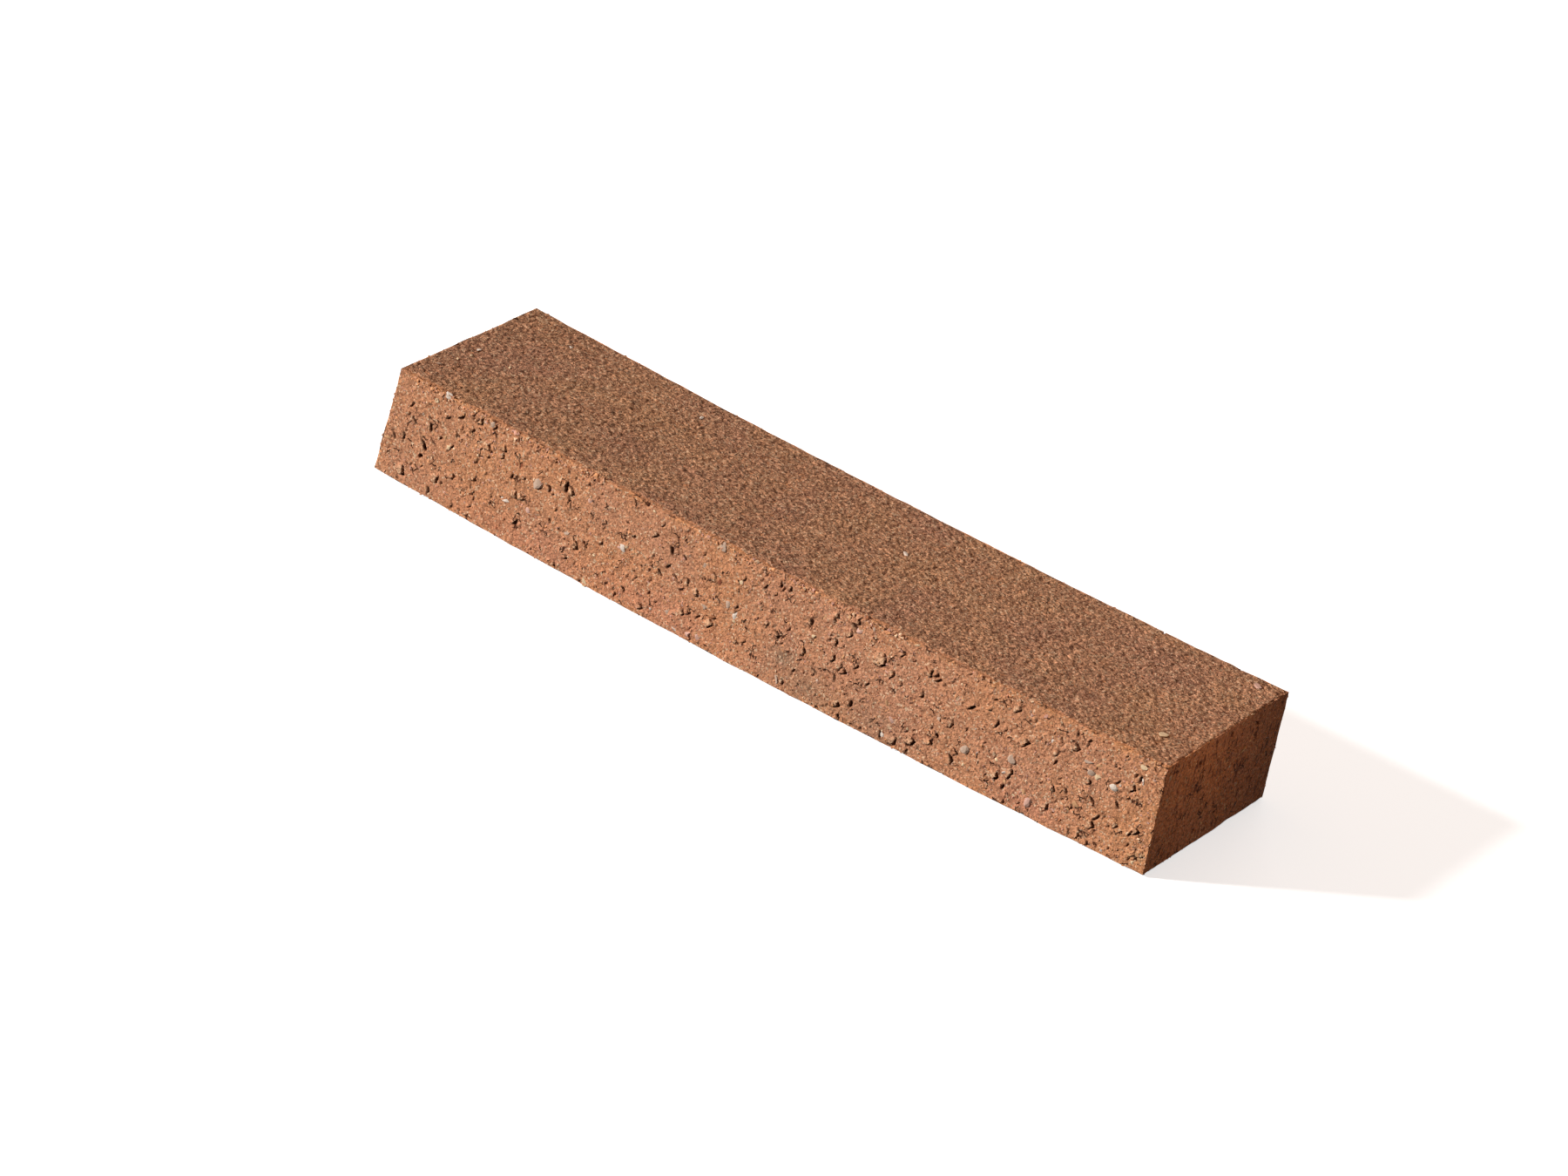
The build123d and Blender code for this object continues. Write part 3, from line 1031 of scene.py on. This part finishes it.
upright = add(tree, "Mapping", {"Vector": place, "Scale": UPRIGHT})
streaks = add(tree, "TexNoise", {"Vector": upright, "Scale": per(STREAK), "Detail": 2.0})
streaks = add(tree, "MapRange", (streaks, 0.56, 0.66, 0.0, 0.85))
end, pit = (add(tree, "Attribute", out="Fac", attribute_name=name) for name in ("end", "pit"))
# painted shade of the wire's upright drag pits, on the ends only
drag_pit_shade = add(tree, "Math", (streaks, end), operation="MULTIPLY")
# painted shade darkens the seams, the streaks on the ends and the pits
for share, code in ((dark_seam, PAINTED_CRACK_SHADE), (drag_pit_shade, PAINTED_STREAK_SHADE), (pit, PAINTED_CRACK_SHADE)):
    body = add(tree, "Mix", {0: share, MIX_A: body, MIX_B: rgba(code)}, **COLOURS)
tree.links.new(body, shader.inputs["Base Color"])
print(clay.name, "nodes with the dark marks", len(tree.nodes))

# %% [markdown]
# ## The clay's fine roughness
# Grains well under a millimetre are too small for the mesh, so a bump bends the light there. The
# small plates between the seams stand at different heights, and the seams are cut in.

# %% Fired clay, wire-cut: its bump
GRAIN = {"Scale": per(0.7), "Detail": 3.0, "Roughness": 0.7}
GRAIN_HEIGHT, STEP_HEIGHT, SEAM_DEPTH = 0.42, 0.24, 0.4  # in mm
step = add(tree, "MapRange", (torn, 0.52, 0.62, 0.0, STEP_HEIGHT))
steps = add(tree, "Math", (plate, step), operation="MULTIPLY")
grain = add(tree, "TexNoise", {"Vector": place, **GRAIN})
height = add(tree, "Math", (grain, GRAIN_HEIGHT, steps), operation="MULTIPLY_ADD")
height = add(tree, "Math", (open_seam, -SEAM_DEPTH, height), operation="MULTIPLY_ADD")
bump = add(tree, "Bump", {"Height": height, "Strength": 1.0, "Distance": MM})
tree.links.new(bump, shader.inputs["Normal"])
brick_mesh.materials.clear()
brick_mesh.materials.append(clay)
print(brick.name, "wears", clay.name, "of", len(tree.nodes), "nodes")

# %% [markdown]
# ## The sanded beds
# The sand is a little browner than the clay. Two sizes of grains, each a
# little different, give the eye a fine salt and pepper, and painted shade darkens the low places between the
# domes.

# %% Fired clay, sanded
SAND_PATCH, SAND_GRAIN, SAND_BUMP = 18, 0.8, 0.8  # mm, size of patches and of grains, height of the bump
sanded, tree, shader = new_material("fired_clay_sanded", ROUGH, DULL)
place = add(tree, "TexCoord", out="Object")
patches = add(tree, "TexNoise", {"Vector": place, "Scale": per(SAND_PATCH), "Detail": 4.0})
share = add(tree, "MapRange", (patches, 0.36, 0.66))
body = add(tree, "Mix", {0: share, MIX_A: rgba("#c18e69"), MIX_B: rgba("#b88568")}, **COLOURS)
body = painted_light_to_the_right(tree, place, body)
body = speckled(tree, place, body, SAND_GRAIN, (0.8, 1.18), "#d2a985", "#815036")
body = speckled(tree, place, body, FINE, (0.4, 1.57), "#eecca8", "#5b3322")
# painted shade: the low places between the domes darken towards deep brown
low_place_shade = add(tree, "Attribute", out="Fac", attribute_name="low")
share = add(tree, "MapRange", (low_place_shade, 0.0, 1.0, 0.0, 0.65))
body = add(tree, "Mix", {0: share, MIX_A: body, MIX_B: rgba("#6f442f")}, **COLOURS)
tree.links.new(body, shader.inputs["Base Color"])
grain = add(tree, "TexNoise", {"Vector": place, **GRAIN})
bump = add(tree, "Bump", {"Height": grain, "Strength": 1.0, "Distance": SAND_BUMP * MM})
tree.links.new(bump, shader.inputs["Normal"])
for coat in (upper_sand, lower_sand):
    coat.data.materials.append(sanded)
print(upper_sand.name, lower_sand.name, "wear", sanded.name, "of", len(tree.nodes), "nodes")

# %% [markdown]
# ## The broken grains
# A broken grain shows its own clay, so its colour comes with it as an attribute of the mesh. A faint dust
# lightens and darkens it. It is a little less rough than the clay, because it was fired twice.

# %% Fired clay, broken
DUST, DUST_SHADES, DUST_BUMP = 0.5, (0.75, 1.25), 0.2  # size in mm, lightness, height in mm
stone, tree, shader = new_material("fired_clay_broken", roughness=0.9, gloss=0.2)
tint = add(tree, "Attribute", out="Color", attribute_name="tint")
place = add(tree, "TexCoord", out="Object")
dust = add(tree, "TexNoise", {"Vector": place, "Scale": per(DUST), "Detail": 2.0})
light = add(tree, "MapRange", (dust, 0.0, 1.0, *DUST_SHADES))
body = add(tree, "HueSaturation", {"Value": light, "Color": tint})
tree.links.new(body, shader.inputs["Base Color"])
bump = add(tree, "Bump", {"Height": dust, "Strength": 0.4, "Distance": DUST_BUMP * MM})
tree.links.new(bump, shader.inputs["Normal"])
for piece in (grit, grog):
    piece.data.materials.append(stone)
print(grit.name, grog.name, "wear", stone.name, "of", len(tree.nodes), "nodes")

# %% [markdown]
# ## One brick
# The clay, the sand and the grains were fired together into one block. So all pieces move with the one
# body of the frame and stand in for its one solid.

# %% All pieces stand for the solid brick
PIECES = (brick, upper_sand, lower_sand, grit, grog)
for piece in PIECES:
    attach(piece, "root")
    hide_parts("fire_brick")
print("pieces", [piece.name for piece in PIECES])

# %% [markdown]
# ## Floor
# The brick lies on white paper. The paper glows a little, which keeps the brick's shadow soft and pale,
# and its light does not reach the brick, so that the shaded end stays dark.

# %% White paper
FLOOR_HALF = 12.0
PAPER_GLOW = 0.7
CORNERS = FLOOR_HALF * np.array([[-1, -1, 0], [1, -1, 0], [1, 1, 0], [-1, 1, 0]])
floor_mesh = bpy.data.meshes.new("floor")
floor_mesh.from_pydata(CORNERS.tolist(), [], [(0, 1, 2, 3)])
floor = bpy.data.objects.new("floor", floor_mesh)
bpy.context.scene.collection.objects.link(floor)
paper, tree, shader = new_material("white_paper", roughness=1.0, gloss=0.0)
shader.inputs["Base Color"].default_value = rgba("#f3f3f3")
shader.inputs["Emission Color"].default_value = rgba("#ffffff")
shader.inputs["Emission Strength"].default_value = PAPER_GLOW
floor_mesh.materials.append(paper)
floor.visible_diffuse = False
print("floor half width in m", FLOOR_HALF)

# %% [markdown]
# ## Lamps
# A soft box low at the front left rakes over the grain. It stands far away, so the whole length is lit
# evenly. A weak one behind lights the back, and a small warm lamp by the right end gives the shade there
# a red glow. Light linking keeps it off the paper.

# %% Lamps
WHITE_LIGHT, WARM_LIGHT = (1.0, 1.0, 1.0), (1.0, 0.60, 0.34)
KEY_FROM = Vector((-0.67, -0.64, 0.37))
BACK_FROM = Vector((-0.25, 0.9, 0.35))
END_TOP = Vector((high[0] * MM, -0.010, 0.027))
GLOW_FROM = Vector((0.042, 0.0, 0.012))


def soft_box(name, aim, towards, distance, size, watts, colour):
    """A square lamp at a distance from the place it is aimed at, facing it."""
    lamp = bpy.data.lights.new(name, "AREA")
    lamp.size, lamp.energy, lamp.color = size, watts, colour
    made = bpy.data.objects.new(name, lamp)
    made.location = aim + towards.normalized() * distance
    made.rotation_euler = towards.to_track_quat("Z", "Y").to_euler()
    made.visible_camera = False
    bpy.context.scene.collection.objects.link(made)
    return made


soft_box("key", Vector(), KEY_FROM, distance=14.0, size=1.2, watts=2600, colour=WHITE_LIGHT)
soft_box("back", Vector(), BACK_FROM, distance=2.0, size=1.2, watts=10, colour=WHITE_LIGHT)
end_glow = soft_box("end_glow", END_TOP, GLOW_FROM, distance=GLOW_FROM.length, size=0.02, watts=0.005,
                    colour=WARM_LIGHT)
lit = bpy.data.collections.new("lit_by_end_glow")
for piece in PIECES:
    lit.objects.link(piece)
end_glow.light_linking.receiver_collection = lit
print("lamps", [lamp.name for lamp in bpy.data.lights])

# %% [markdown]
# ## The room
# Without a room the shadows would be black. Its light is warm and comes from above and from the left, and
# hardly any from the right, where the end is in shade. The camera itself sees plain white.

# %% A dim warm room
FROM_ABOVE = (-0.5, 0.0, 0.87)
ROOM_LOW, ROOM_HIGH = (0.02, 0.010, 0.005, 1), (0.395, 0.252, 0.167, 1)
BACKDROP = (0.95, 0.95, 0.95, 1)
world = bpy.data.worlds.new("room")
bpy.context.scene.world = world
world.use_nodes = True
tree = world.node_tree
seen = add(tree, "LightPath", out="Is Camera Ray")
way = add(tree, "TexCoord", out="Generated")
rise = add(tree, "VectorMath", (way, FROM_ABOVE), out="Value", operation="DOT_PRODUCT")
share = add(tree, "MapRange", (rise, 0.4, 0.9))
glow = add(tree, "Mix", {0: share, MIX_A: ROOM_LOW, MIX_B: ROOM_HIGH}, **COLOURS)
tint = add(tree, "Mix", {0: seen, MIX_A: glow, MIX_B: BACKDROP}, **COLOURS)
tree.links.new(tint, tree.nodes["Background"].inputs["Color"])
bpy.context.scene.view_settings.view_transform = "Standard"
print("room nodes", len(tree.nodes))

# %% [markdown]
# ## Camera
# The camera stands where the picture was taken from, to the right and above, with a long lens. It leans,
# because the brick was seen tilted. Its place comes from a fit of the brick's corners, and turning it by
# its angles round the brick keeps these numbers easy to read.

# %% Camera
LENS, SENSOR = 147.7, 36.0
AIM = Vector((-0.0038, -0.01165, 0.015))
DISTANCE = 1.5634
AZIMUTH, ELEVATION, ROLL = (math.radians(angle) for angle in (26.57, 27.59, 14.58))
camera = bpy.data.objects.new("camera", bpy.data.cameras.new("camera"))
camera.data.lens, camera.data.sensor_width = LENS, SENSOR
back = Vector((math.sin(AZIMUTH) * math.cos(ELEVATION), -math.cos(AZIMUTH) * math.cos(ELEVATION),
               math.sin(ELEVATION)))
turn = (-back).to_track_quat("-Z", "Y").to_matrix() @ Matrix.Rotation(ROLL, 3, "Z")
camera.matrix_world = Matrix.Translation(AIM + back * DISTANCE) @ turn.to_4x4()
bpy.context.scene.collection.objects.link(camera)
bpy.context.scene.camera = camera
print("camera at", [round(value, 3) for value in camera.matrix_world.translation])
